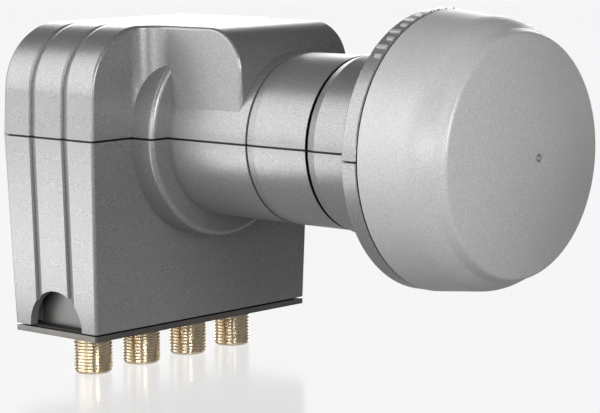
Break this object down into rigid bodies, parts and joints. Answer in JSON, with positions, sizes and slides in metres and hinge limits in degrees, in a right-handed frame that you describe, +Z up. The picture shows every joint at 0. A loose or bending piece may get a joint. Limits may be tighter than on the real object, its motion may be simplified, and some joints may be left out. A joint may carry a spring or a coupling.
{
  "type": "satellite lnb",
  "caption": "Satellite dish receiver head: moulded housing with a round clamp neck, an angle ring, a domed feed cap and threaded coaxial outlets underneath.",
  "frame": {"origin": "on the neck's axis, midway between the two turned grooves that bound the clamp zone", "axes": "+Y along the neck from the feed cap to the housing, +Z up, the outlets point to -Z, +X completes the right-handed set"},
  "size_m": [0.0746, 0.1308, 0.0889],
  "materials": {
    "shell_plastic": "fine satin mould finish",
    "cap_plastic": "fine satin mould finish",
    "cast_metal": "bare die-casting",
    "cover_metal": "bare die-casting",
    "plate_metal": "brushed",
    "seal_rubber": "matt black",
    "outlet_metal": "nickel-plated",
    "outlet_insulator": "smooth white",
    "contact_brass": "bright",
    "screw_steel": "zinc-plated",
    "board_laminate": "solder mask",
    "chip_plastic": "moulded",
    "resonator_ceramic": "unglazed ceramic"
  },
  "bodies": {
    "root": {"upper_shell": "shell_plastic", "lower_shell": "shell_plastic", "feed_cap": "cap_plastic", "cast_body": "cast_metal", "rear_cover": "cover_metal", "base_plate": "plate_metal", "base_gasket": "seal_rubber", "rear_gasket": "seal_rubber", "cap_seal": "seal_rubber", "f_body_1": "outlet_metal", "f_body_2": "outlet_metal", "f_body_3": "outlet_metal", "f_body_4": "outlet_metal", "f_insulator_1": "outlet_insulator", "f_insulator_2": "outlet_insulator", "f_insulator_3": "outlet_insulator", "f_insulator_4": "outlet_insulator", "f_contact_1": "contact_brass", "f_contact_2": "contact_brass", "f_contact_3": "contact_brass", "f_contact_4": "contact_brass", "tuning_screw_low": "contact_brass", "tuning_screw_high": "contact_brass", "probe_vertical": "contact_brass", "probe_horizontal": "contact_brass", "base_screw_left": "screw_steel", "base_screw_right": "screw_steel", "cover_screw_upper_left": "screw_steel", "cover_screw_upper_right": "screw_steel", "cover_screw_lower_left": "screw_steel", "cover_screw_lower_right": "screw_steel", "main_board": "board_laminate", "rf_chip": "chip_plastic", "switch_chip": "chip_plastic", "regulator_chip": "chip_plastic", "resonator_low": "resonator_ceramic", "resonator_high": "resonator_ceramic"}
  },
  "joints": []
}
